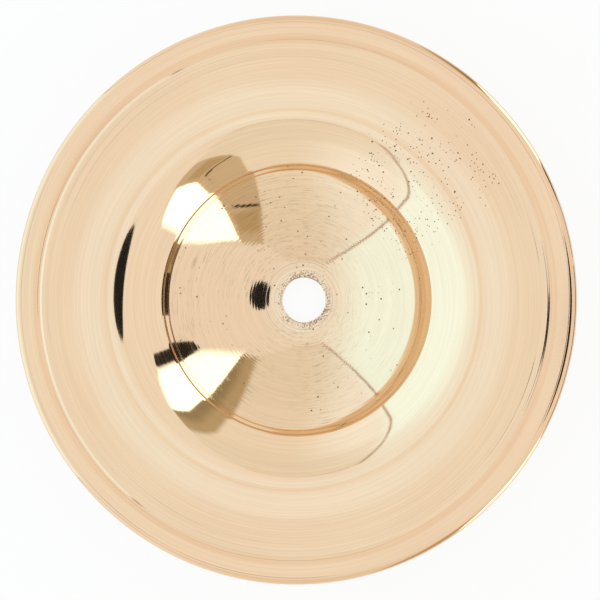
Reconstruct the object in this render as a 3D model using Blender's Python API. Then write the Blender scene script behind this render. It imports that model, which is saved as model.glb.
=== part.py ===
"""Bell cymbal: one piece of turned bronze, 152.4 mm (6 in) across the rim.

The cymbal lies on its crown with the hollow side up. The origin is the centre of the flat crown
seat, +Z points out of the hollow, and every length is in metres. Its section is a chain of arcs
and straight lines in the (radius, height) plane, turned once round the Z axis.
"""

import math

import bmesh
import bpy
from mathutils import Matrix

# Driving dimensions of the metal
RIM_DIAMETER = 0.1524
HOLE_DIAMETER = 0.0125
WALL = 0.0030
FLANGE_THICKNESS = 0.0026

# The bowl of the bell is an arc whose centre stands a little off the axis
BOWL_RADIUS = 0.0470
BOWL_CENTRE_OFFSET = 0.0032
BOWL_EDGE_RADIUS = 0.0354

# Flat seats round the hole on both sides, and the broken edges of the hole
HOLLOW_SEAT_WIDTH = 0.00295
CROWN_SEAT_WIDTH = 0.00575
HOLE_CHAMFER = 0.0003

# The turned band at the edge of the bowl: two fine risers, each with a strip outside it
RISER_WIDTH = 0.00032
RISER_SLOPE = math.radians(53.5)
INNER_STRIP_WIDTH = 0.00076
INNER_STRIP_SLOPE = math.radians(42.5)
OUTER_STRIP_WIDTH = 0.0004
OUTER_STRIP_SLOPE = math.radians(43.5)
BAND = (
    (RISER_WIDTH, RISER_SLOPE),
    (INNER_STRIP_WIDTH, INNER_STRIP_SLOPE),
    (RISER_WIDTH, RISER_SLOPE),
    (OUTER_STRIP_WIDTH, OUTER_STRIP_SLOPE),
)

# The straight wall outside the band, and the two arcs of the shoulder that leads on to the flange
WALL_LENGTH = 0.00537
WALL_SLOPE = math.radians(38.5)
SHOULDER_INNER_RADIUS = 0.0160
SHOULDER_OUTER_RADIUS = 0.0255
SHOULDER_BREAK_SLOPE = math.radians(18.5)

# The flange grows flatter outwards
FLANGE_INNER_SLOPE = math.radians(5.8)
FLANGE_OUTER_SLOPE = math.radians(3.0)

# The turned land along the rim stands proud of the flange, behind a shallow groove
LAND_WIDTH = 0.0076
GROOVE_WIDTH = 0.0006
GROOVE_DEPTH = 0.00004
LAND_RISE = 0.00024
LAND_RISE_WIDTH = 0.0016
LAND_SLOPE = math.radians(1.5)
NOSE_DEPTH = 0.0022

# Steps of the curves, and of one full turn
BOWL_STEPS = 9
SHOULDER_INNER_STEPS = 4
SHOULDER_OUTER_STEPS = 3
CORNER_STEPS = 6
FLANGE_STEPS = 3
NOSE_STEPS = 8
TURN_STEPS = 96

SMOOTH_ANGLE = math.radians(25.0)
BRONZE_COLOUR = (0.90, 0.69, 0.47, 1.0)
BRONZE_ROUGHNESS = 0.12


def clear_scene():
    """Remove the objects that the file starts with."""
    for thing in list(bpy.data.objects):
        bpy.data.objects.remove(thing, do_unlink=True)


def hollow_arc(centre, radius, slope):
    """Point of an arc that curves up, such as the bowl, where its surface has this slope."""
    return centre[0] + radius * math.sin(slope), centre[1] - radius * math.cos(slope)


def crowned_arc(centre, radius, slope):
    """Point of an arc that curves down, such as the shoulder, where its surface has this slope."""
    return centre[0] - radius * math.sin(slope), centre[1] + radius * math.cos(slope)


def sweep(arc, centre, radius, first, last, steps):
    """Points along an arc from one slope to another, both ends included."""
    return [arc(centre, radius, first + (last - first) * i / steps) for i in range(steps + 1)]


def bowl_centre():
    """Centre of the bowl's arcs, high enough for the crown seat to lie at height zero."""
    seat_slope = bowl_slope(HOLE_DIAMETER / 2 + CROWN_SEAT_WIDTH, BOWL_RADIUS + WALL)
    return BOWL_CENTRE_OFFSET, (BOWL_RADIUS + WALL) * math.cos(seat_slope)


def bowl_slope(radius_from_axis, arc_radius):
    """Slope of a bowl arc at this distance from the axis."""
    return math.asin((radius_from_axis - BOWL_CENTRE_OFFSET) / arc_radius)


def flange_radius(inner_end):
    """Radius of the flange's arc, which spends its slopes between the shoulder and the land."""
    span = RIM_DIAMETER / 2 - LAND_WIDTH - inner_end
    return span / (math.sin(FLANGE_INNER_SLOPE) - math.sin(FLANGE_OUTER_SLOPE))


def centre_below(point, radius, slope):
    """Centre of an arc that curves down and has this slope at a point."""
    return point[0] + radius * math.sin(slope), point[1] - radius * math.cos(slope)


def hollow_side():
    """Section of the hollow side from the hole to the nose, and the centres of its outer arcs."""
    hole = HOLE_DIAMETER / 2
    seat_slope = bowl_slope(hole + HOLLOW_SEAT_WIDTH, BOWL_RADIUS)
    edge_slope = bowl_slope(BOWL_EDGE_RADIUS, BOWL_RADIUS)
    bowl = sweep(hollow_arc, bowl_centre(), BOWL_RADIUS, seat_slope, edge_slope, BOWL_STEPS)
    seat_height = bowl[0][1]
    points = [(hole, seat_height - HOLE_CHAMFER), (hole + HOLE_CHAMFER, seat_height)] + bowl

    for width, slope in BAND:
        inner_end = points[-1]
        points.append((inner_end[0] + width, inner_end[1] + width * math.tan(slope)))
    band_end = points[-1]
    wall_end = (
        band_end[0] + WALL_LENGTH * math.cos(WALL_SLOPE),
        band_end[1] + WALL_LENGTH * math.sin(WALL_SLOPE),
    )

    inner_centre = centre_below(wall_end, SHOULDER_INNER_RADIUS, WALL_SLOPE)
    slopes = WALL_SLOPE, SHOULDER_BREAK_SLOPE
    points += sweep(crowned_arc, inner_centre, SHOULDER_INNER_RADIUS, *slopes, SHOULDER_INNER_STEPS)

    shoulder_centre = centre_below(points[-1], SHOULDER_OUTER_RADIUS, SHOULDER_BREAK_SLOPE)
    slopes = SHOULDER_BREAK_SLOPE, FLANGE_INNER_SLOPE
    points += sweep(crowned_arc, shoulder_centre, SHOULDER_OUTER_RADIUS, *slopes, SHOULDER_OUTER_STEPS)[1:]

    radius = flange_radius(points[-1][0])
    flange_centre = centre_below(points[-1], radius, FLANGE_INNER_SLOPE)
    slopes = FLANGE_INNER_SLOPE, FLANGE_OUTER_SLOPE
    points += sweep(crowned_arc, flange_centre, radius, *slopes, FLANGE_STEPS)[1:]

    start, height = points[-1]
    points.append((start + GROOVE_WIDTH, height - GROOVE_DEPTH))
    land_start = start + GROOVE_WIDTH + LAND_RISE_WIDTH, height + LAND_RISE
    nose = RIM_DIAMETER / 2 - NOSE_DEPTH
    points.append(land_start)
    points.append((nose, land_start[1] + (nose - land_start[0]) * math.tan(LAND_SLOPE)))
    return points, shoulder_centre, flange_centre, radius


def crown_side(shoulder_centre, flange_centre, radius):
    """Section of the crown side from the nose back to the hole, one wall away from the hollow."""
    hole = HOLE_DIAMETER / 2
    centre = bowl_centre()
    outer = BOWL_RADIUS + WALL
    seat_slope = bowl_slope(hole + CROWN_SEAT_WIDTH, outer)
    edge_slope = bowl_slope(BOWL_EDGE_RADIUS, BOWL_RADIUS)
    bowl = sweep(hollow_arc, centre, outer, edge_slope, seat_slope, BOWL_STEPS)

    # The corner under the shoulder touches the straight line that leaves the bowl at its edge's slope
    corner_radius = SHOULDER_OUTER_RADIUS - FLANGE_THICKNESS
    reach = corner_radius + (shoulder_centre[1] - bowl[0][1]) * math.cos(edge_slope)
    corner_centre = bowl[0][0] + reach / math.sin(edge_slope), shoulder_centre[1]
    corner = sweep(crowned_arc, corner_centre, corner_radius, FLANGE_INNER_SLOPE, edge_slope, CORNER_STEPS)

    under = radius - FLANGE_THICKNESS
    ends = RIM_DIAMETER / 2 - NOSE_DEPTH, corner[0][0]
    nose_slope, corner_slope = [math.asin((flange_centre[0] - end) / under) for end in ends]
    flange = sweep(crowned_arc, flange_centre, under, nose_slope, corner_slope, FLANGE_STEPS)
    return flange[:-1] + corner + bowl + [(hole + HOLE_CHAMFER, 0.0), (hole, HOLE_CHAMFER)]


def nose_curve(top, bottom):
    """Points of the rounded rim: half an ellipse from the hollow side to the crown side."""
    middle = (top[1] + bottom[1]) / 2
    half = (top[1] - bottom[1]) / 2
    angles = [math.pi / 2 - math.pi * i / NOSE_STEPS for i in range(1, NOSE_STEPS)]
    return [(top[0] + NOSE_DEPTH * math.cos(a), middle + half * math.sin(a)) for a in angles]


def cymbal_section():
    """The closed section of the cymbal as (radius, height) points."""
    hollow, shoulder_centre, flange_centre, radius = hollow_side()
    crown = crown_side(shoulder_centre, flange_centre, radius)
    return hollow + nose_curve(hollow[-1], crown[0]) + crown


def turned_mesh(name, section):
    """Turn a closed section once round the Z axis into a mesh with its faces pointing out."""
    shape = bmesh.new()
    corners = [shape.verts.new((radius, 0.0, height)) for radius, height in section]
    edges = [shape.edges.new((corners[i - 1], corners[i])) for i in range(len(corners))]
    bmesh.ops.spin(
        shape,
        geom=corners + edges,
        cent=(0.0, 0.0, 0.0),
        axis=(0.0, 0.0, 1.0),
        angle=math.tau,
        steps=TURN_STEPS,
        use_merge=True,
    )
    bmesh.ops.recalc_face_normals(shape, faces=shape.faces)
    mesh = bpy.data.meshes.new(name)
    shape.to_mesh(mesh)
    shape.free()
    mesh.shade_smooth()
    mesh.set_sharp_from_angle(angle=SMOOTH_ANGLE)
    return mesh


def bronze():
    """Polished bell bronze."""
    material = bpy.data.materials.new("polished_bronze")
    material.use_nodes = True
    shader = material.node_tree.nodes["Principled BSDF"]
    shader.inputs["Base Color"].default_value = BRONZE_COLOUR
    shader.inputs["Metallic"].default_value = 1.0
    shader.inputs["Roughness"].default_value = BRONZE_ROUGHNESS
    return material


def bell_cymbal():
    """The whole cymbal: bell, flange and rim turned from one casting."""
    mesh = turned_mesh("bell_cymbal", cymbal_section())
    mesh.materials.append(bronze())
    cymbal = bpy.data.objects.new("bell_cymbal", mesh)
    cymbal.matrix_world = Matrix.Identity(4)
    bpy.context.scene.collection.objects.link(cymbal)
    return cymbal


def main():
    """Build the part in an empty scene."""
    clear_scene()
    bell_cymbal()


main()
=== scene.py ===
"""Bell cymbal of turned bronze, lying hollow side up in a small white light tent.

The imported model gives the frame. The cymbal is turned here again from the same section, with the
lathe's marks, softened corners and the wear of the real surface, and it stands for the CAD solid.
Lengths are in metres, angles in radians, and a section is a chain of (radius, height) points.
"""

import functools
import logging
import math
from collections.abc import Callable, Iterable
from dataclasses import dataclass, field
from enum import Enum

import bmesh
import bpy
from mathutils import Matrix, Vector


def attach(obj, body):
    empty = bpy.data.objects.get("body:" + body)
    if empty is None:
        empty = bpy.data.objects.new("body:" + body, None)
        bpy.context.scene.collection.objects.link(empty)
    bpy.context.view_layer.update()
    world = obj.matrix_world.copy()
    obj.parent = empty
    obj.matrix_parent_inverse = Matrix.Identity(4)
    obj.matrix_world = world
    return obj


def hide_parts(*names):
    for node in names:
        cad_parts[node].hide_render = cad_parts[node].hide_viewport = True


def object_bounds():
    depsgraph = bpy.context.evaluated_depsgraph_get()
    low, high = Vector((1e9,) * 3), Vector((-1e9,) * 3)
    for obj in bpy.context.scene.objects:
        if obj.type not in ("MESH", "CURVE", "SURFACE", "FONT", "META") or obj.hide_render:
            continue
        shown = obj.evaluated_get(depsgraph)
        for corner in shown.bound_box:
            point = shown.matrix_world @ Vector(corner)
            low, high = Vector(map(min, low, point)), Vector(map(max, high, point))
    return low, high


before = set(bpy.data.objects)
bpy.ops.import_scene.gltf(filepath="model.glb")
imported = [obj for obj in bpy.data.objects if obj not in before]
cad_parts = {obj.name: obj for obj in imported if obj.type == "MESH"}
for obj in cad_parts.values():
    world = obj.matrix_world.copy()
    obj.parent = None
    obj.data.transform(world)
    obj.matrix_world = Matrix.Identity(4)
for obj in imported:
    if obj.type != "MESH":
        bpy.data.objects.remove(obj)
cad_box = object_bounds()

LOG = logging.getLogger("bell_cymbal_scene")

Point = tuple[float, float]
Triple = tuple[float, float, float]
Colour = Triple

# A ramp is a range of values, followed by the results at its ends where they are not 0 and 1
Ramp = tuple[float, ...]

# What a node's input takes: another node's output, or a number, colour or vector of its own
Value = bpy.types.NodeSocket | float
Shade = bpy.types.NodeSocket | Colour
Inputs = Iterable[Value | Triple] | dict[str | int, Value | Triple]

NODE = "bell_cymbal"
BODY = "root"
TOP = cad_box[1][2]

# Sides of round things on the stage, and strength of the world's light
ROUND_SEGMENTS = 96
WORLD_LIGHT = 0.9

# Vector operations that give a number, and the Mix node's sockets for its share and its colours
MEASURES = ("DISTANCE", "DOT_PRODUCT")
MIX_INPUTS = (0, 6, 7)
MIX_OUTPUT = 2


class Side(Enum):
    """Which way an arc of the section curves, seen with the hollow side up."""

    HOLLOW = 1
    CROWNED = -1


class Blend(Enum):
    """Blender's names for the ways that two colours are mixed."""

    MIX = "MIX"
    MULTIPLY = "MULTIPLY"


@dataclass(frozen=True)
class Arc:
    """A circular arc of the section, followed by the slope of its surface."""

    centre: Point
    radius: float
    side: Side

    def point(self, slope: float) -> Point:
        """Find the point of the arc where its surface rises outwards with a slope."""
        turn = self.side.value * self.radius
        return self.centre[0] + turn * math.sin(slope), self.centre[1] - turn * math.cos(slope)

    def sweep(self, first: float, last: float, spacing: float) -> list[Point]:
        """Follow the arc from one slope to another in steps no longer than a spacing."""
        steps = max(1, math.ceil(abs(last - first) * self.radius / spacing))
        return [self.point(first + (last - first) * i / steps) for i in range(steps + 1)]


def between(start: Point, end: Point, share: float) -> Point:
    """Find the point that lies a share of the way from one point to another."""
    return start[0] + (end[0] - start[0]) * share, start[1] + (end[1] - start[1]) * share


def straight(start: Point, end: Point, spacing: float) -> list[Point]:
    """Divide a straight line of the section into steps no longer than a spacing."""
    steps = max(1, math.ceil(math.dist(start, end) / spacing))
    return [between(start, end, i / steps) for i in range(steps + 1)]


def soften(before: list[Point], after: list[Point], reach: float, steps: int) -> list[Point]:
    """Join two runs of a section with a soft corner in place of the sharp one.

    Args:
        before: Run that ends at the corner.
        after: Run that starts at the corner.
        reach: How far from the corner the softening starts on each side.
        steps: Number of steps in the soft corner.

    Returns:
        Both runs as one, without the corner itself.
    """
    corner = after[0]
    kept_before = [p for p in before if math.dist(p, corner) > reach]
    kept_after = [p for p in after if math.dist(p, corner) > reach]
    first, last = [
        between(corner, near, reach / math.dist(corner, near))
        for near in (kept_before[-1], kept_after[0])
    ]
    curve = [
        between(between(first, corner, i / steps), between(corner, last, i / steps), i / steps)
        for i in range(steps + 1)
    ]
    return kept_before + curve + kept_after


def smooth_step(low: float, high: float, value: float) -> float:
    """Rise smoothly from 0 at one value to 1 at another."""
    share = min(1.0, max(0.0, (value - low) / (high - low)))
    return share * share * (3 - 2 * share)


@dataclass(frozen=True)
class Wave:
    """A slow wave across the feed marks: its strength, its turn per mark and where it starts."""

    strength: float
    turn: float
    start: float = 0.0

    def at(self, marks: float) -> float:
        """Read the wave after a number of marks."""
        return self.strength * math.sin(self.turn * marks + self.start)


@dataclass(frozen=True)
class LatheMarks:
    """Rings that the turning tool leaves: a feed mark whose spacing and depth wander."""

    feed: float = 0.00085
    depth: float = 0.0000015
    wander: tuple[Wave, ...] = (Wave(0.5, 0.71, 1.0), Wave(0.8, 0.17))
    swell: Wave = Wave(0.35, 0.53, 0.5)
    mean_swell: float = 0.65

    # Where the marks are deeper and shallower than in the plain part of the bowl, and how much
    centre_reach: Point = (0.011, 0.024)
    centre_gain: float = 1.6
    deep_ring: Point = (0.0205, 0.0255)
    deep_ring_gain: float = 1.6
    flange_start: float = 0.041
    flange_fade: float = 0.0034
    flange_gain: float = 0.10

    def gain(self, radius: float) -> float:
        """Find how strong the marks are.

        Args:
            radius: Distance from the axis.

        Returns:
            A factor, 1 in the plain part of the bowl.
        """
        ring_start, ring_end = [
            smooth_step(edge - self.feed, edge + self.feed, radius) for edge in self.deep_ring
        ]
        gain = 1.0 + self.centre_gain * (1.0 - smooth_step(*self.centre_reach, radius))
        gain += self.deep_ring_gain * (ring_start - ring_end)
        outer = smooth_step(self.flange_start, self.flange_start + self.flange_fade, radius)
        return gain + (self.flange_gain - 1.0) * outer

    def cut(self, radius: float) -> float:
        """Find how deep the marks lie below the smooth section.

        Args:
            radius: Distance from the axis.

        Returns:
            The depth, never negative.
        """
        marks = radius / self.feed
        place = marks + sum(wave.at(marks) for wave in self.wander)
        swell = self.mean_swell + self.swell.at(marks)
        return self.depth * self.gain(radius) * swell * (1.0 + math.sin(math.tau * place))


@dataclass(frozen=True)
class CymbalSection:
    """The section of the cymbal, with the sizes of the CAD solid.

    Fine shape that only its mirror images show is added. The strips of the band lean 2 to 2.5
    degrees more, and its inner riser 6.5 degrees less. The groove is 0.022 mm deeper, the land lies
    0.016 mm lower, and the rim turns over later and more sharply.
    """

    rim_diameter: float = 0.1524
    hole_diameter: float = 0.0125
    wall: float = 0.0030
    flange_thickness: float = 0.0026
    bowl_radius: float = 0.0470
    bowl_centre_offset: float = 0.0032
    bowl_edge_radius: float = 0.0354
    hollow_seat_width: float = 0.00295
    crown_seat_width: float = 0.00575
    riser_width: float = 0.00032
    inner_riser_slope: float = math.radians(47.0)
    outer_riser_slope: float = math.radians(53.4)
    inner_strip_width: float = 0.00076
    inner_strip_slope: float = math.radians(45.0)
    outer_strip_width: float = 0.0004
    outer_strip_slope: float = math.radians(45.5)
    wall_length: float = 0.00537
    wall_slope: float = math.radians(38.5)
    shoulder_inner_radius: float = 0.0160
    shoulder_outer_radius: float = 0.0255
    shoulder_break_slope: float = math.radians(18.5)
    flange_inner_slope: float = math.radians(5.8)
    flange_outer_slope: float = math.radians(3.0)
    land_width: float = 0.0076
    groove_width: float = 0.0006
    groove_depth: float = 0.000062
    land_rise: float = 0.0002235
    land_rise_width: float = 0.0016
    land_slope: float = math.radians(1.5)
    nose_depth: float = 0.0016
    nose_power: float = 2.4

    # Reach of the softened corners
    hole_reach: float = 0.00035
    seat_reach: float = 0.0005
    crown_seat_reach: float = 0.00025
    band_reach: float = 0.00008
    crease_reach: float = 0.00016
    groove_reach: float = 0.00007
    land_reach: float = 0.00028
    corner_steps: int = 6
    band_steps: int = 3

    # Largest steps along the bore, the bowl, its band, the flange, the groove and the crown side
    bore_spacing: float = 0.00048
    bowl_spacing: float = 0.00016
    band_spacing: float = 0.00006
    flange_spacing: float = 0.00028
    groove_spacing: float = 0.00014
    crown_spacing: float = 0.0009
    nose_steps: int = 28

    marks: LatheMarks = LatheMarks()

    @property
    def hole(self) -> float:
        """Radius of the hole."""
        return self.hole_diameter / 2

    @property
    def rim(self) -> float:
        """Radius of the rim."""
        return self.rim_diameter / 2

    def bowl_slope(self, radius: float, arc_radius: float) -> float:
        """Find the slope that a bowl arc of some radius has at a distance from the axis."""
        return math.asin((radius - self.bowl_centre_offset) / arc_radius)

    def bowl(self, arc_radius: float) -> Arc:
        """Make an arc of the bowl, set so that the crown seat lies at height zero.

        Args:
            arc_radius: Radius of the arc, of the hollow side or the crown side.

        Returns:
            The arc.
        """
        outer = self.bowl_radius + self.wall
        seat_slope = self.bowl_slope(self.hole + self.crown_seat_width, outer)
        return Arc((self.bowl_centre_offset, outer * math.cos(seat_slope)), arc_radius, Side.HOLLOW)

    def arc_below(self, start: Point, radius: float, slope: float) -> Arc:
        """Make an arc that curves down and starts at a point with a slope."""
        centre = start[0] + radius * math.sin(slope), start[1] - radius * math.cos(slope)
        return Arc(centre, radius, Side.CROWNED)

    def shoulder(self) -> tuple[list[Point], Arc]:
        """Follow the shoulder's two arcs from the top of the wall to the flange.

        Returns:
            The points, and the outer arc.
        """
        wall_top = self.band()[-1]
        inner = self.arc_below(wall_top, self.shoulder_inner_radius, self.wall_slope)
        points = inner.sweep(self.wall_slope, self.shoulder_break_slope, self.bowl_spacing)
        outer = self.arc_below(points[-1], self.shoulder_outer_radius, self.shoulder_break_slope)
        rest = outer.sweep(self.shoulder_break_slope, self.flange_inner_slope, self.flange_spacing)
        return points + rest[1:], outer

    def flange(self, start: Point) -> Arc:
        """Make the flange's arc, which grows flatter from the shoulder to the land.

        Args:
            start: End of the shoulder.

        Returns:
            The arc.
        """
        change = math.sin(self.flange_inner_slope) - math.sin(self.flange_outer_slope)
        radius = (self.rim - self.land_width - start[0]) / change
        return self.arc_below(start, radius, self.flange_inner_slope)

    def band(self) -> list[Point]:
        """List the corners of the turned band: two risers with their strips, and the wall.

        Returns:
            The corners, from the edge of the bowl to the top of the wall.
        """
        edge_slope = self.bowl_slope(self.bowl_edge_radius, self.bowl_radius)
        corners = [self.bowl(self.bowl_radius).point(edge_slope)]
        for width, slope in (
            (self.riser_width, self.inner_riser_slope),
            (self.inner_strip_width, self.inner_strip_slope),
            (self.riser_width, self.outer_riser_slope),
            (self.outer_strip_width, self.outer_strip_slope),
            (self.wall_length * math.cos(self.wall_slope), self.wall_slope),
        ):
            corners.append((corners[-1][0] + width, corners[-1][1] + width * math.tan(slope)))
        return corners

    def bell_side(self) -> list[Point]:
        """Follow the hollow side from halfway up the bore to the top of the wall.

        Returns:
            The points.
        """
        bowl = self.bowl(self.bowl_radius)
        first = self.bowl_slope(self.hole + self.hollow_seat_width, self.bowl_radius)
        last = self.bowl_slope(self.bowl_edge_radius, self.bowl_radius)
        seat_end = bowl.point(first)
        edge = self.hole, seat_end[1]
        run = straight((self.hole, seat_end[1] / 2), edge, self.bore_spacing)
        run = soften(run, straight(edge, seat_end, self.bowl_spacing), self.hole_reach, self.corner_steps)
        bowl_run = bowl.sweep(first, last, self.bowl_spacing)
        run = soften(run, bowl_run, self.seat_reach, self.corner_steps)
        corners = self.band()
        for inner, outer in zip(corners[:-2], corners[1:-1]):
            strip = straight(inner, outer, self.band_spacing)
            run = soften(run, strip, self.band_reach, self.band_steps)
        wall = straight(corners[-2], corners[-1], self.bowl_spacing)
        return soften(run, wall, self.crease_reach, self.corner_steps)

    def land(self, start: Point) -> list[Point]:
        """Follow the groove and the raised land from the flange to the rounded rim.

        Args:
            start: End of the flange.

        Returns:
            The points.
        """
        groove = start[0] + self.groove_width, start[1] - self.groove_depth
        top = groove[0] + self.land_rise_width, start[1] + self.land_rise
        nose = self.rim - self.nose_depth
        end = nose, top[1] + (nose - top[0]) * math.tan(self.land_slope)
        step = self.groove_spacing
        before = start[0] - step, start[1] - step * math.sin(self.flange_outer_slope)
        run = [before, start]
        run = soften(run, straight(start, groove, step), self.groove_reach, self.corner_steps)
        run = soften(run, straight(groove, top, step), self.groove_reach, self.corner_steps)
        surface = straight(top, end, self.flange_spacing)
        return soften(run, surface, self.land_reach, self.corner_steps)[1:]

    def crown_side(self, shoulder: Arc, flange: Arc) -> list[Point]:
        """Follow the crown side from the rounded rim back into the bore, one wall from the hollow.

        Args:
            shoulder: Outer arc of the hollow side's shoulder.
            flange: Arc of the hollow side's flange.

        Returns:
            The points.
        """
        step = self.crown_spacing
        outer = self.bowl(self.bowl_radius + self.wall)
        seat_slope = self.bowl_slope(self.hole + self.crown_seat_width, outer.radius)
        edge_slope = self.bowl_slope(self.bowl_edge_radius, self.bowl_radius)
        bowl = outer.sweep(edge_slope, seat_slope, step)
        corner_radius = shoulder.radius - self.flange_thickness
        reach = corner_radius + (shoulder.centre[1] - bowl[0][1]) * math.cos(edge_slope)
        centre = bowl[0][0] + reach / math.sin(edge_slope), shoulder.centre[1]
        corner = Arc(centre, corner_radius, Side.CROWNED).sweep(self.flange_inner_slope, edge_slope, step)
        under = Arc(flange.centre, flange.radius - self.flange_thickness, Side.CROWNED)
        nose_slope, corner_slope = [
            math.asin((flange.centre[0] - end) / under.radius)
            for end in (self.rim - self.nose_depth, corner[0][0])
        ]
        edge = self.hole, 0.0
        run = under.sweep(nose_slope, corner_slope, step)[:-1] + corner + bowl
        run = soften(run, straight(bowl[-1], edge, step), self.crown_seat_reach, self.corner_steps)
        bore = straight(edge, (self.hole, self.wall / 3), step)
        return soften(run, bore, self.hole_reach, self.corner_steps)

    def outline(self) -> list[Point]:
        """Follow the whole section once round.

        Returns:
            The closed chain of points, without its first point repeated.
        """
        arc, shoulder = self.shoulder()
        flange = self.flange(arc[-1])
        disc = flange.sweep(self.flange_inner_slope, self.flange_outer_slope, self.flange_spacing)
        hollow = self.bell_side()[:-1] + arc + disc[1:-1] + self.land(disc[-1])
        crown = self.crown_side(shoulder, flange)
        worn = [(radius, height - self.wear(radius)) for radius, height in hollow]
        return worn + self.nose(hollow[-1], crown[0]) + crown

    def wear(self, radius: float) -> float:
        """Find how deep the lathe's marks are at a radius, none of them at the hole's edge."""
        return 0.0 if radius <= self.hole + self.hole_reach else self.marks.cut(radius)

    def nose(self, top: Point, bottom: Point) -> list[Point]:
        """Round the rim with half of a squarish ellipse.

        Args:
            top: End of the hollow side.
            bottom: Start of the crown side.

        Returns:
            The points between the two.
        """
        middle = (top[1] + bottom[1]) / 2
        half = (top[1] - bottom[1]) / 2
        outward = [math.sin(math.pi * i / self.nose_steps) for i in range(1, self.nose_steps)]
        upward = [(1.0 - x**self.nose_power) ** (1.0 / self.nose_power) for x in outward]
        signs = [math.copysign(1.0, self.nose_steps / 2 - i) for i in range(1, self.nose_steps)]
        return [
            (top[0] + self.nose_depth * x, middle + sign * half * y)
            for x, y, sign in zip(outward, upward, signs)
        ]


@dataclass
class NodeBoard:
    """Adds shader nodes to a tree and links them as they are made."""

    tree: bpy.types.NodeTree

    def put(self, socket: bpy.types.NodeSocket, value: Value | Triple) -> None:
        """Link a socket, or set its own value.

        Args:
            socket: The input.
            value: Another node's output, a number, a vector or a colour.
        """
        if isinstance(value, bpy.types.NodeSocket):
            self.tree.links.new(value, socket)
        elif socket.type == "RGBA":
            socket.default_value = (*value, 1.0)
        else:
            socket.default_value = value

    def node(self, kind: str, values: Inputs = (), **settings: object) -> bpy.types.NodeOutputs:
        """Add a node, and link or set its inputs.

        Args:
            kind: Blender's name for the node.
            values: What its first inputs get, in order, or what the named or numbered ones get.
            **settings: Attributes of the node.

        Returns:
            The outputs of the node.
        """
        node = self.tree.nodes.new(kind)
        for name, setting in settings.items():
            setattr(node, name, setting)
        for key, value in values.items() if isinstance(values, dict) else enumerate(values):
            self.put(node.inputs[key], value)
        return node.outputs

    def surface(self, shader: Value) -> None:
        """Link a shader to the output of the material."""
        self.put(self.tree.nodes["Material Output"].inputs["Surface"], shader)

    def math(self, operation: str, first: Value, second: Value = 0.0) -> Value:
        """Work out one or two numbers with an operation that Blender names."""
        return self.node("ShaderNodeMath", (first, second), operation=operation)[0]

    def product(self, *factors: Value) -> Value:
        """Multiply numbers."""
        return functools.reduce(functools.partial(self.math, "MULTIPLY"), factors)

    def away(self, number: Value, centre: float) -> Value:
        """Find how far a number is from another one."""
        return self.math("ABSOLUTE", self.math("SUBTRACT", number, centre))

    def length(self, sides: Iterable[Value]) -> Value:
        """Find the length of a flat vector from its two sides."""
        return self.math("SQRT", self.math("ADD", *[self.product(side, side) for side in sides]))

    def vector(self, operation: str, *operands: Value | Triple) -> Value:
        """Work out vectors with an operation that Blender names, as a number where it measures."""
        outputs = self.node("ShaderNodeVectorMath", operands, operation=operation)
        return outputs["Value" if operation in MEASURES else "Vector"]

    def combine(self, x: Value, y: Value, z: Value = 0.0) -> Value:
        """Make a vector of three numbers."""
        return self.node("ShaderNodeCombineXYZ", (x, y, z))[0]

    def split(self, vector: Value) -> list[Value]:
        """Split a vector into its three numbers."""
        return list(self.node("ShaderNodeSeparateXYZ", (vector,)))

    def step(self, value: Value, low: float, high: float, at_low: float = 0.0, at_high: float = 1.0) -> Value:
        """Map a value smoothly from one range to another."""
        values = value, low, high, at_low, at_high
        return self.node("ShaderNodeMapRange", values, interpolation_type="SMOOTHSTEP")["Result"]

    def fall(self, value: Value, low: float, high: float) -> Value:
        """Fall smoothly from 1 at one value to 0 at another."""
        return self.step(value, low, high, 1.0, 0.0)

    def noise(self, vector: Value, scale: float, detail: float = 2.0, output: str = "Fac") -> Value:
        """Add a noise texture with a number of finer layers, as a number or as a colour."""
        values = {"Vector": vector, "Scale": scale, "Detail": detail}
        return self.node("ShaderNodeTexNoise", values)[output]

    def cells(self, vector: Value, scale: float) -> Value:
        """Find the distance from the middle of the nearest cell, in shares of their spacing."""
        return self.node("ShaderNodeTexVoronoi", {"Vector": vector, "Scale": scale})["Distance"]

    def mix(self, share: Value, first: Shade, second: Shade, blend: Blend = Blend.MIX) -> Value:
        """Mix two colours with a share of the second one."""
        values = dict(zip(MIX_INPUTS, (share, first, second)))
        return self.node("ShaderNodeMix", values, data_type="RGBA", blend_type=blend.value)[MIX_OUTPUT]

    def matt(self, grey: float) -> Value:
        """Add a matt grey shader."""
        return self.node("ShaderNodeBsdfDiffuse", {"Color": (grey,) * 3})[0]

    def glow(self, colour: Shade) -> Value:
        """Add a shader that gives light of a colour."""
        return self.node("ShaderNodeEmission", {"Color": colour, "Strength": 1.0})[0]

    def either(self, share: Value, first: Value, second: Value) -> Value:
        """Mix two shaders with a share of the second one."""
        return self.node("ShaderNodeMixShader", (share, first, second))[0]


def new_material(name: str) -> tuple[bpy.types.Material, NodeBoard]:
    """Make an empty node material.

    Args:
        name: Its name.

    Returns:
        The material and its board, which holds only the output node.
    """
    material = bpy.data.materials.new(name)
    material.use_nodes = True
    material.node_tree.nodes.clear()
    board = NodeBoard(material.node_tree)
    board.node("ShaderNodeOutputMaterial")
    return material, board


def new_mesh(shape: bmesh.types.BMesh, name: str) -> bpy.types.Mesh:
    """Turn a shape into a mesh.

    Args:
        shape: The shape, which is freed.
        name: Name of the mesh.

    Returns:
        The mesh.
    """
    mesh = bpy.data.meshes.new(name)
    shape.to_mesh(mesh)
    shape.free()
    return mesh


def new_object(mesh: bpy.types.Mesh, material: bpy.types.Material) -> bpy.types.Object:
    """Put a mesh in the scene, under its own name.

    Args:
        mesh: The mesh.
        material: Its material.

    Returns:
        The object.
    """
    mesh.materials.append(material)
    made = bpy.data.objects.new(mesh.name, mesh)
    bpy.context.scene.collection.objects.link(made)
    return made


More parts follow.
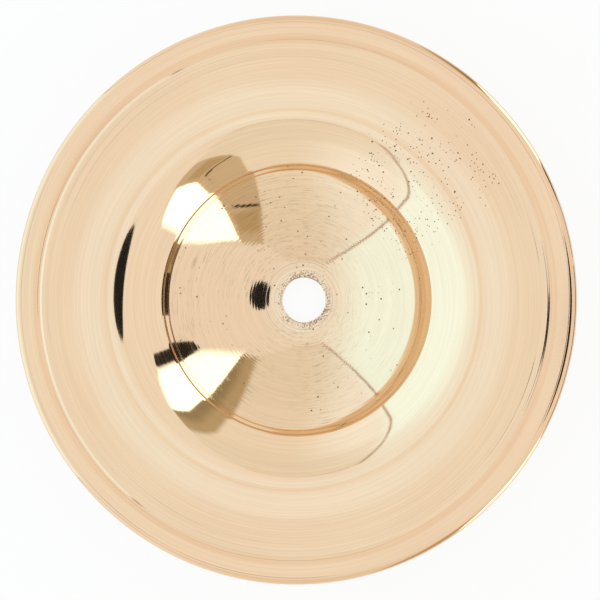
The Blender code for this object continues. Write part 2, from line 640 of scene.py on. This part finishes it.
def flat_disc(name: str, radius: float) -> bpy.types.Mesh:
    """Make a flat round sheet at height zero.

    Args:
        name: Name of the mesh.
        radius: Radius of the sheet.

    Returns:
        The mesh.
    """
    shape = bmesh.new()
    bmesh.ops.create_circle(shape, cap_ends=True, radius=radius, segments=ROUND_SEGMENTS)
    return new_mesh(shape, name)


@dataclass(frozen=True)
class ScribedLine:
    """A single narrow groove turned into the surface."""

    radius: float
    width: float
    depth: float


@dataclass(frozen=True)
class PitKind:
    """Pits of one size: cells per metre, where a pit ends in its cell, and the crowding it needs."""

    density: float
    edge: Point
    crowding: Point


@dataclass(frozen=True)
class PaintedLightZone:
    """A ring of the surface where a tone paints light and shade on the bronze, found by radius and, where
    given, by height.
    """

    radii: Ramp
    tone: Colour
    heights: Ramp = ()


@dataclass(frozen=True)
class Spot:
    """A spot of the bronze, as the nodes of its material read it."""

    board: NodeBoard
    place: Value
    across: tuple[Value, Value]
    height: Value
    radius: Value


def spot_on(board: NodeBoard) -> Spot:
    """Read the spot that a material is drawn at.

    Args:
        board: Board of the material.

    Returns:
        The spot.
    """
    place = board.node("ShaderNodeTexCoord")["Object"]
    x, y, height = board.split(place)
    return Spot(board, place, (x, y), height, board.length((x, y)))


@dataclass(frozen=True)
class BronzeFinish:
    """Polished bell bronze with fine turning lines, pits, old dirt in the bell, and painted light and shade
    in some of its rings.
    """

    colour: Colour = (0.90, 0.69, 0.475)
    dirt_colour: Colour = (0.16, 0.085, 0.045)
    dirt_roughness: float = 0.45

    # Fine rings: how many per metre, how often they fade out on the way round, how deep they are and
    # how that fades towards the flange, and what they do to the shade, painted along their grooves, and the
    # roughness
    ring_density: float = 2600.0
    ring_breaks: float = 1.5
    ring_depth: float = 0.0000012
    ring_fade: Ramp = (0.041, 0.0451, 1.0, 0.35)
    ring_shade: Ramp = (0.3, 0.75, 0.95, 1.03)
    ring_roughness: Ramp = (0.35, 0.7, 0.040, 0.065)

    # Soft patches, a little warmer and cooler
    patch_scale: float = 34.0
    patch_tone: Ramp = (0.3, 0.7, 0.985, 1.015)

    # Scribed lines, how they fade in and out on the way round, and how much dirt they hold
    lines: tuple[ScribedLine, ...] = (
        ScribedLine(0.0082, 0.00026, 0.0000050),
        ScribedLine(0.0096, 0.00024, 0.0000040),
        ScribedLine(0.0106, 0.00024, 0.0000040),
        ScribedLine(0.0652, 0.00028, 0.0000160),
        ScribedLine(0.0671, 0.00026, 0.0000140),
        ScribedLine(0.0697, 0.00022, 0.0000120),
        ScribedLine(0.0743, 0.00030, 0.0000140),
    )
    line_scale: float = 24.0
    line_shift: float = 40.0
    line_fade: Ramp = (0.38, 0.62, 0.1, 1.0)
    line_dirt: float = 0.38

    # Pits, large and small, which gather in the bell and in one patch beside it
    pit_kinds: tuple[PitKind, ...] = (
        PitKind(420.0, (0.063, 0.147), (0.45, 0.57)),
        PitKind(966.0, (0.105, 0.231), (0.62, 0.78)),
    )
    pit_dirt: float = 0.95
    crowd_scale: float = 90.0
    bell_crowd: float = 0.95
    bell_edge: Point = (0.03485, 0.041)
    patch_crowd: float = 1.5
    patch_centre: Point = (0.036, 0.034)
    patch_edge: Point = (0.0156, 0.026)

    # Old dirt that lies along some of the tool's rings in the bell, most of it towards the left
    old_density: float = 3300.0
    old_breaks: float = 7.0
    old_levels: Point = (0.33, 0.46)
    old_edge: Point = (0.0350, 0.0356)
    old_scale: float = 60.0
    old_patches: Point = (0.38, 0.56)
    old_side: Ramp = (0.004, 0.020, 1.0, 0.2)
    old_dirt: float = 0.26

    # Specks of dirt round the hole, which gather near it and in blots
    near_edge: Point = (0.0066, 0.0092)
    near_gain: float = 0.16
    near_fade: Point = (0.02, 0.25)
    blot_scale: float = 150.0
    blot_gain: float = 0.30
    speck_scale: float = 2400.0
    specks: Ramp = (0.78, 0.93, 0.0, 0.7)

    # Painted light and shade in rings: the top of the land pinker, a painted reflection; the bowl a little
    # darker, painted shade; the seat round the hole brighter and cooler, painted light
    painted_light_zones: tuple[PaintedLightZone, ...] = (
        PaintedLightZone((0.0690, 0.0694), (0.975, 0.90, 0.85), (0.0239, 0.0247)),
        PaintedLightZone((0.0360, 0.0368, 1.0, 0.0), (0.965, 0.955, 0.94)),
        PaintedLightZone((0.0090, 0.0094, 1.0, 0.0), (1.02, 1.07, 1.12)),
    )

    # Painted shade in the two risers of the band, darker and more orange as in a crease: radius and tone, and
    # how it ends to the sides and below
    risers: tuple[tuple[float, Colour], ...] = (
        (0.03556, (0.98, 0.85, 0.68)),
        (0.03664, (0.90, 0.77, 0.62)),
    )
    riser_edge: Point = (0.000152, 0.000266)
    riser_heights: Point = (0.0136, 0.0144)
    riser_roughness: float = 0.08

    def rings(self, spot: Spot, density: float, breaks: float) -> Value:
        """Draw fine rings of the tool and the polish, which fade in and out on the way round.

        Args:
            spot: Spot of the bronze.
            density: Number of rings per metre.
            breaks: How often a ring fades out on the way round.

        Returns:
            A number from 0 to 1.
        """
        board = spot.board
        round_axis = [board.product(board.math("DIVIDE", n, spot.radius), breaks) for n in spot.across]
        return board.noise(board.combine(board.product(spot.radius, density), *round_axis), 1.0, 3.0)

    def scribed(self, spot: Spot) -> tuple[Value, Value]:
        """Draw the scribed lines, which fade in and out on the way round.

        Args:
            spot: Spot of the bronze.

        Returns:
            Their depth in metres, and a mask of where they are.
        """
        board = spot.board
        depth, mask = 0.0, 0.0
        for line in self.lines:
            shifted = board.vector("ADD", spot.place, (line.radius * self.line_shift,) * 3)
            strength = board.step(board.noise(shifted, self.line_scale, 1.0), *self.line_fade)
            inside = board.fall(board.away(spot.radius, line.radius), 0.0, line.width / 2)
            inside = board.product(inside, strength)
            depth = board.math("ADD", depth, board.product(inside, line.depth))
            mask = board.math("MAXIMUM", mask, inside)
        return depth, mask

    def pits(self, spot: Spot) -> Value:
        """Draw small dark pits, most of them in the bell and in one patch beside it.

        Args:
            spot: Spot of the bronze.

        Returns:
            A mask of where they are.
        """
        board = spot.board
        sides = [board.math("SUBTRACT", n, centre) for n, centre in zip(spot.across, self.patch_centre)]
        patch = board.product(board.fall(board.length(sides), *self.patch_edge), self.patch_crowd)
        bell = board.product(board.fall(spot.radius, *self.bell_edge), self.bell_crowd)
        noise = board.noise(spot.place, self.crowd_scale)
        crowding = board.product(noise, board.math("ADD", patch, bell))
        found = 0.0
        for kind in self.pit_kinds:
            pit = board.fall(board.cells(spot.place, kind.density), *kind.edge)
            pit = board.product(pit, board.step(crowding, *kind.crowding))
            found = board.math("MAXIMUM", found, pit)
        return found

    def old_rings(self, spot: Spot) -> Value:
        """Draw the old dirt that lies along some of the tool's rings in the bell.

        Args:
            spot: Spot of the bronze.

        Returns:
            A mask of how much there is.
        """
        board = spot.board
        return board.product(
            board.fall(spot.radius, *self.old_edge),
            board.step(board.noise(spot.place, self.old_scale, 3.0), *self.old_patches),
            board.step(spot.across[0], *self.old_side),
            board.fall(self.rings(spot, self.old_density, self.old_breaks), *self.old_levels),
        )

    def hole_dirt(self, spot: Spot) -> Value:
        """Draw the speckled dirt round the hole.

        Args:
            spot: Spot of the bronze.

        Returns:
            A mask of how much there is.
        """
        board = spot.board
        near = board.fall(spot.radius, *self.near_edge)
        blots = board.product(board.noise(spot.place, self.blot_scale, 1.0), self.blot_gain)
        level = board.math("ADD", board.product(near, self.near_gain), blots)
        level = board.math("ADD", board.noise(spot.place, self.speck_scale, 3.0), level)
        return board.product(board.step(near, *self.near_fade), board.step(level, *self.specks))

    def riser_painted_shade(self, spot: Spot) -> list[Value]:
        """Find the painted shade of each riser, darker and more orange, which is only on the hollow side.

        Args:
            spot: Spot of the bronze.

        Returns:
            A mask for each riser.
        """
        board = spot.board
        hollow = board.step(spot.height, *self.riser_heights)
        sides = [board.away(spot.radius, centre) for centre, _ in self.risers]
        return [board.product(board.fall(side, *self.riser_edge), hollow) for side in sides]

    def bronze_and_painted_light(self, spot: Spot, rings: Value) -> Value:
        """Find the colour of the bronze, with its patches and the painted light and shade of its zones.

        Args:
            spot: Spot of the bronze.
            rings: The fine rings.

        Returns:
            The colour.
        """
        board = spot.board
        # Painted shade along the grooves of the fine rings, a little lighter between them
        shade = board.step(rings, *self.ring_shade)
        patches = board.step(board.noise(spot.place, self.patch_scale, 3.0), *self.patch_tone)
        warm = board.product(shade, patches)
        colour = board.mix(1.0, self.colour, board.combine(shade, warm, warm), Blend.MULTIPLY)
        # Paint the light and shade of each zone onto the bronze
        for painted_zone in self.painted_light_zones:
            inside = board.step(spot.radius, *painted_zone.radii)
            if painted_zone.heights:
                inside = board.product(inside, board.step(spot.height, *painted_zone.heights))
            colour = board.mix(inside, colour, painted_zone.tone, Blend.MULTIPLY)
        return colour

    def material(self) -> bpy.types.Material:
        """Make the material.

        Returns:
            The material.
        """
        material, board = new_material("turned_bronze")
        spot = spot_on(board)
        rings = self.rings(spot, self.ring_density, self.ring_breaks)
        scribed, scribed_mask = self.scribed(spot)
        soiled = self.hole_dirt(spot)
        for mask, dirt in (
            (scribed_mask, self.line_dirt),
            (self.pits(spot), self.pit_dirt),
            (self.old_rings(spot), self.old_dirt),
        ):
            soiled = board.math("MAXIMUM", soiled, board.product(mask, dirt))

        colour = self.bronze_and_painted_light(spot, rings)
        # Painted shade in the band's risers, which are also rougher there
        riser_shade_mask = 0.0
        for mask, (_, riser_shade_tone) in zip(self.riser_painted_shade(spot), self.risers):
            colour = board.mix(mask, colour, riser_shade_tone, Blend.MULTIPLY)
            riser_shade_mask = board.math("MAXIMUM", riser_shade_mask, mask)
        roughness = board.step(rings, *self.ring_roughness)
        for mask, added in ((soiled, self.dirt_roughness), (riser_shade_mask, self.riser_roughness)):
            roughness = board.math("ADD", roughness, board.product(mask, added))

        fade = board.step(spot.radius, *self.ring_fade)
        height = board.math("SUBTRACT", board.product(rings, self.ring_depth, fade), scribed)
        bump = board.node("ShaderNodeBump", {"Strength": 1.0, "Distance": 1.0, "Height": height})
        metal = {
            "Metallic": 1.0,
            "Base Color": board.mix(soiled, colour, self.dirt_colour),
            "Roughness": roughness,
            "Normal": bump["Normal"],
        }
        board.surface(board.node("ShaderNodeBsdfPrincipled", metal)["BSDF"])
        return material


@dataclass
class BellCymbal:
    """The whole cymbal: bell, flange and rim turned from one casting."""

    section: CymbalSection = field(default_factory=CymbalSection)
    finish: BronzeFinish = field(default_factory=BronzeFinish)
    turn_steps: int = 168
    sharp_angle: float = math.radians(35.0)

    def mesh(self) -> bpy.types.Mesh:
        """Turn the section once round the axis.

        Returns:
            A closed mesh with its faces pointing out.
        """
        shape = bmesh.new()
        corners = [shape.verts.new((radius, 0.0, height)) for radius, height in self.section.outline()]
        edges = [shape.edges.new((corners[i - 1], corners[i])) for i in range(len(corners))]
        bmesh.ops.spin(
            shape,
            geom=corners + edges,
            cent=(0.0, 0.0, 0.0),
            axis=(0.0, 0.0, 1.0),
            angle=math.tau,
            steps=self.turn_steps,
            use_merge=True,
        )
        bmesh.ops.recalc_face_normals(shape, faces=shape.faces)
        mesh = new_mesh(shape, "turned_cymbal")
        mesh.shade_smooth()
        mesh.set_sharp_from_angle(angle=self.sharp_angle)
        return mesh

    def dress(self) -> bpy.types.Object:
        """Put the cymbal in the scene in place of the CAD solid.

        Returns:
            The object.
        """
        piece = new_object(self.mesh(), self.finish.material())
        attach(piece, BODY)
        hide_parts(NODE)
        return piece


@dataclass(frozen=True)
class Panel:
    """A convex patch of the light tent, drawn on a map of the sky.

    On the map a direction lies as many degrees from the middle as it leans from straight up.
    Without a light of its own a patch takes the light of the walls. Softness is how many degrees
    a side takes to fade, for all sides or for each.
    """

    corners: tuple[Point, ...]
    light: Colour | None = None
    softness: tuple[float, ...] | float = 1.0

    def sides(self) -> list[tuple[Point, float, float]]:
        """List the sides of the patch.

        Returns:
            For each side the inward direction, its distance from the middle and its softness.
        """
        count = len(self.corners)
        soft = self.softness if isinstance(self.softness, tuple) else (self.softness,) * count
        ends = self.corners[1:] + self.corners[:1]
        area = sum(a[0] * b[1] - b[0] * a[1] for a, b in zip(self.corners, ends))
        found = []
        for start, end, fade in zip(self.corners, ends, soft):
            length = math.copysign(math.dist(start, end), area)
            inward = (start[1] - end[1]) / length, (end[0] - start[0]) / length
            found.append((inward, inward[0] * start[0] + inward[1] * start[1], fade))
        return found

    def mask(self, board: NodeBoard, place: Value) -> Value:
        """Find where the patch is.

        Args:
            board: Board of the tent's material.
            place: Place on the map of the sky.

        Returns:
            1 inside the patch and 0 outside.
        """
        share = 1.0
        for inward, distance, fade in self.sides():
            depth = board.vector("DOT_PRODUCT", place, (*inward, 0.0))
            side = board.step(depth, distance - fade / 2, distance + fade / 2)
            share = board.math("MINIMUM", share, side)
        return share


@dataclass(frozen=True)
class LightTent:
    """A white tent round the cymbal, with the lamps and dark panels that the bronze mirrors."""

    height: float = TOP
    radius: float = 0.65
    panels: tuple[Panel, ...] = ()

    # The ceiling ends where a direction leans this far to the side, from 0 for up to 1 for flat
    ceiling_end: Point = (0.498, 0.522)

    # The ceiling's light at the place that mirrors the camera, and in three rings round it: over
    # which degrees from there each one comes in, and its light
    middle_place: Point = (-9.85, 0.0)
    middle: Colour = (0.99, 1.045, 1.085)
    rings: tuple[tuple[Point, Colour], ...] = (
        ((0.6, 3.4), (0.957, 0.94, 0.913)),
        ((6.4, 9.6), (0.995, 1.05, 1.09)),
        ((11.0, 23.0), (0.965, 0.945, 0.925)),
    )

    # The walls grow brighter towards the floor and cooler towards the tent's bright end
    walls: Colour = (0.90, 0.88, 0.825)
    low_light: Colour = (1.035, 1.035, 1.04)
    low_reach: Point = (50.0, 72.0)
    end_light: Colour = (1.12, 1.23, 1.38)
    end_reach: Point = (-48.0, -10.0)

    # Folds of the cloth: how far they shift its edges in degrees, and how many there are per degree
    fold_shift: float = 1.1
    fold_density: float = 0.16

    def ceiling(self, board: NodeBoard, chart: Value) -> Value:
        """Find the light of the ceiling.

        Args:
            board: Board of the material.
            chart: Place on the map of the sky.

        Returns:
            The light.
        """
        away = board.vector("DISTANCE", chart, (*self.middle_place, 0.0))
        light = self.middle
        for reach, ring_light in self.rings:
            light = board.mix(board.step(away, *reach), light, ring_light)
        return light

    def material(self) -> bpy.types.Material:
        """Make the tent's light.

        Returns:
            The material.
        """
        material, board = new_material("tent_light")
        way = board.vector("NORMALIZE", board.node("ShaderNodeTexCoord")["Object"])
        x, y, z = board.split(way)
        lean = board.math("DEGREES", board.math("ARCCOSINE", z))
        even = board.vector("MULTIPLY", board.vector("NORMALIZE", board.combine(x, y)), lean)
        folds = board.noise(even, self.fold_density, output="Color")
        spread, start = (self.fold_shift,) * 3, (-self.fold_shift / 2,) * 3
        chart = board.vector("ADD", even, board.vector("MULTIPLY_ADD", folds, spread, start))

        low = board.step(lean, *self.low_reach)
        end = board.fall(board.split(chart)[0], *self.end_reach)
        walls = board.mix(low, self.walls, self.low_light, Blend.MULTIPLY)
        walls = board.mix(end, walls, self.end_light, Blend.MULTIPLY)
        side = board.step(board.math("ABSOLUTE", y), *self.ceiling_end)
        light = board.mix(side, self.ceiling(board, chart), walls)
        for panel in self.panels:
            light = board.mix(panel.mask(board, chart), light, panel.light or walls)
        board.surface(board.glow(light))
        return material

    def build(self) -> bpy.types.Object:
        """Put the tent round the cymbal, unseen by the camera.

        Returns:
            The object.
        """
        shape = bmesh.new()
        rows = ROUND_SEGMENTS // 2
        bmesh.ops.create_uvsphere(shape, u_segments=ROUND_SEGMENTS, v_segments=rows, radius=self.radius)
        bmesh.ops.bisect_plane(
            shape,
            geom=shape.verts[:] + shape.edges[:] + shape.faces[:],
            plane_co=(0.0, 0.0, -self.height),
            plane_no=(0.0, 0.0, -1.0),
            clear_outer=True,
        )
        bmesh.ops.reverse_faces(shape, faces=shape.faces)
        tent = new_object(new_mesh(shape, "light_tent"), self.material())
        tent.data.shade_smooth()
        tent.location = (0.0, 0.0, self.height)
        tent.visible_camera = False
        tent.visible_shadow = False
        return tent


def photo_tent() -> LightTent:
    """Lay out the tent as the photograph's reflections show it.

    Returns:
        The tent.
    """
    cool = (1.06, 1.35, 1.50)
    cream = (1.0, 1.10, 1.15)
    seam = (0.60, 0.47, 0.42)
    fold = (0.72, 0.62, 0.54)
    lamp = (2.2, 2.4, 2.2)
    tan = (0.52, 0.43, 0.28)
    deep_tan = (0.33, 0.27, 0.16)
    low_tan = (0.66, 0.56, 0.41)
    deep_low_tan = (0.54, 0.42, 0.25)
    brown = (0.45, 0.36, 0.24)
    low_dark = (0.16, 0.115, 0.07)
    dark = (0.03, 0.025, 0.02)
    gap = (0.06, 0.05, 0.03)

    # Walls that reach over the ceiling on both sides, and the folds where they meet it
    side_walls = (
        Panel(((-21, -17), (-4, -18), (11, -30.5), (14, -95), (-90, -95), (-72, -48.5))),
        Panel(((-19, 21), (-4, 23.5), (14, 31.5), (31, 90), (-80, 98), (-71, 64))),
        Panel(((-24, -16.5), (-4, -18), (-4, -18.5), (-24, -17.1)), fold, 0.5),
        Panel(((-22, 20.8), (-4, 23.5), (-4, 24), (-22, 21.4)), fold, 0.5),
    )

    # The bright end of the tent, and the seams along its sides
    bright_end = (
        Panel(((-21, -17), (-19, 21), (-86, 78), (-90, 0), (-86, -62)), cream, (9, 1, 1, 1, 1)),
        Panel(((-34, -25), (-34, 33), (-86, 78), (-90, 0), (-86, -62)), cool, (26, 12, 1, 1, 12)),
        Panel(((-18.9, 21.2), (-19.5, 20.3), (-71.8, 62.5), (-71, 63.6)), seam, 0.8),
        Panel(((-21.1, -16.8), (-20.5, -17.7), (-71.2, -49.1), (-72, -48)), seam, 0.8),
    )

    # Darker cloth beside the lamps, and a dark gap in it
    upper_cloth = ((14.5, 31.5), (24.6, 31.5), (35, 47.3), (43.5, 62.5), (55, 88), (30.9, 88))
    upper_shade = ((22, 31.5), (25, 31.5), (44, 62.5), (56, 88), (46, 88), (28, 50))
    lower_cloth = ((10.8, -30.5), (23.5, -32.3), (30, -44.3), (36.4, -59.6), (46, -88), (13, -88))
    cloths = (
        Panel(upper_cloth, tan, (1, 1, 1, 1, 1, 4)),
        Panel(upper_shade, deep_tan, (1, 1, 1, 1, 8, 8)),
        Panel(lower_cloth, low_tan),
        Panel(((13, -39), (25, -40), (29.5, -53), (12.5, -55)), deep_low_tan, 5),
        Panel(((12.4, -56.4), (29.2, -57.5), (29.2, -59.5), (12.4, -58.5)), gap, 0.6),
        Panel(((34.2, -58.6), (36.8, -58.9), (36.8, -60.9), (34.2, -60.6)), gap, 0.6),
    )

    # The two lamps, and the dark places at their end of the tent, most of them near the floor
    upper_lamp = (
        (24.2, 31.5), (44.4, 32), (51.4, 33), (61.4, 39.1), (75, 50), (60, 85), (47.3, 68), (42.8, 61.5),
    )
    lower_lamp = ((22.6, -32.6), (35.2, -59.4), (41.8, -76), (60, -80), (80, -50), (72, -36.5), (46, -36))
    lamps = (
        Panel(upper_lamp, lamp, (7, 5, 2, 1, 1, 1, 1, 1)),
        Panel(lower_lamp, lamp, (1, 1, 1, 1, 1, 3, 5)),
        Panel(((50.8, 30.8), (56.5, 26.3), (80, 30.5), (80, 55), (61.4, 39.1)), dark),
        Panel(((74.9, -13.2), (92, -16.2), (82, -44), (66, -38)), brown),
        Panel(((78.1, -13.8), (96, -17), (81, -52), (66.5, -43)), low_dark),
        Panel(((78.2, 13.4), (95, 16.2), (88.7, 36), (73.8, 30)), low_dark),
        Panel(((75.3, 10.6), (92, 12.9), (91, -22.6), (74.0, -18.4)), dark),
    )
    return LightTent(panels=side_walls + bright_end + cloths + lamps)


@dataclass(frozen=True)
class DarkCard:
    """A round black card above the cymbal, seen only in the bronze."""

    centre: Point = (0.0930, -0.0185)
    height: float = 0.478
    radius: float = 0.0585
    grey: float = 0.02

    def build(self) -> bpy.types.Object:
        """Hang the card over the cymbal.

        Returns:
            The object.
        """
        material, board = new_material("black_card")
        board.surface(board.matt(self.grey))
        card = new_object(flat_disc("dark_card", self.radius), material)
        card.location = (*self.centre, TOP + self.height)
        card.visible_camera = False
        card.visible_diffuse = False
        card.visible_shadow = False
        return card


@dataclass(frozen=True)
class Floor:
    """A plain white floor that keeps a soft shadow under the cymbal and is clear from below."""

    radius: float = 0.62
    white: float = 0.86
    glow: float = 0.88
    drop: float = 0.00003

    def build(self) -> bpy.types.Object:
        """Put the floor under the cymbal.

        Returns:
            The object.
        """
        floor = new_object(flat_disc("floor", self.radius), self.material())
        floor.location = (0.0, 0.0, -self.drop)
        return floor

    def material(self) -> bpy.types.Material:
        """Make the floor's material.

        Returns:
            The material.
        """
        material, board = new_material("white_floor")
        share = board.product(seen_directly(board), self.glow)
        white = board.either(share, board.matt(self.white), board.glow((1.0, 1.0, 1.0)))
        below = board.node("ShaderNodeNewGeometry")["Backfacing"]
        clear = board.node("ShaderNodeBsdfTransparent")[0]
        board.surface(board.either(below, white, clear))
        return material


def seen_directly(board: NodeBoard) -> Value:
    """Find whether the camera sees a place, also in a mirror or through glass.

    Args:
        board: Board of the material.

    Returns:
        1 where it does, 0 for the light that only lights other things.
    """
    path = board.node("ShaderNodeLightPath")
    seen = board.math("MAXIMUM", path["Is Camera Ray"], path["Is Glossy Ray"])
    return board.math("MAXIMUM", seen, path["Is Transmission Ray"])


def white_world() -> bpy.types.World:
    """Make the world white where it is seen, and dimmer as a light.

    Returns:
        The world.
    """
    world = bpy.data.worlds.new("white_world")
    world.use_nodes = True
    board = NodeBoard(world.node_tree)
    background = world.node_tree.nodes["Background"]
    board.put(background.inputs["Color"], (1.0, 1.0, 1.0))
    strength = board.math("ADD", board.product(seen_directly(board), 1.0 - WORLD_LIGHT), WORLD_LIGHT)
    board.put(background.inputs["Strength"], strength)
    bpy.context.scene.world = world
    return world


@dataclass(frozen=True)
class PhotoCamera:
    """The photograph's camera: close above the cymbal, leaning a little to its right."""

    target: Triple = (0.0029, 0.0, TOP)
    distance: float = 0.549
    lean: float = math.radians(9.75)
    focal_pixels: float = 2055.0
    frame_pixels: float = 600.0
    sensor: float = 36.0
    clip: Point = (0.01, 10.0)

    def build(self) -> bpy.types.Object:
        """Make the scene's camera.

        Returns:
            The camera.
        """
        lens = bpy.data.cameras.new("photo_camera")
        lens.sensor_width = self.sensor
        lens.lens = self.sensor * self.focal_pixels / self.frame_pixels
        lens.clip_start, lens.clip_end = self.clip
        camera = bpy.data.objects.new("photo_camera", lens)
        camera.location = (
            self.distance * math.sin(self.lean),
            0.0,
            TOP + self.distance * math.cos(self.lean),
        )
        line_of_sight = Vector(self.target) - camera.location
        aim = math.atan2(-line_of_sight.x, -line_of_sight.z)
        tilt = math.atan2(line_of_sight.y, math.hypot(line_of_sight.x, line_of_sight.z))
        camera.rotation_euler = (tilt, aim, 0.0)
        bpy.context.scene.collection.objects.link(camera)
        bpy.context.scene.camera = camera
        return camera


def main() -> None:
    """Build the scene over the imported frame."""
    logging.basicConfig(level=logging.INFO, format="%(name)s: %(message)s")
    bpy.context.scene.view_settings.view_transform = "Standard"
    builders: tuple[tuple[str, Callable[[], bpy.types.ID]], ...] = (
        ("camera", PhotoCamera().build),
        ("world", white_world),
        ("floor", Floor().build),
        ("light tent", photo_tent().build),
        ("dark card", DarkCard().build),
        ("bell cymbal", BellCymbal().dress),
    )
    for label, build in builders:
        made = build()
        LOG.info("built %s as %s", label, made.name)


if __name__ == "__main__":
    main()
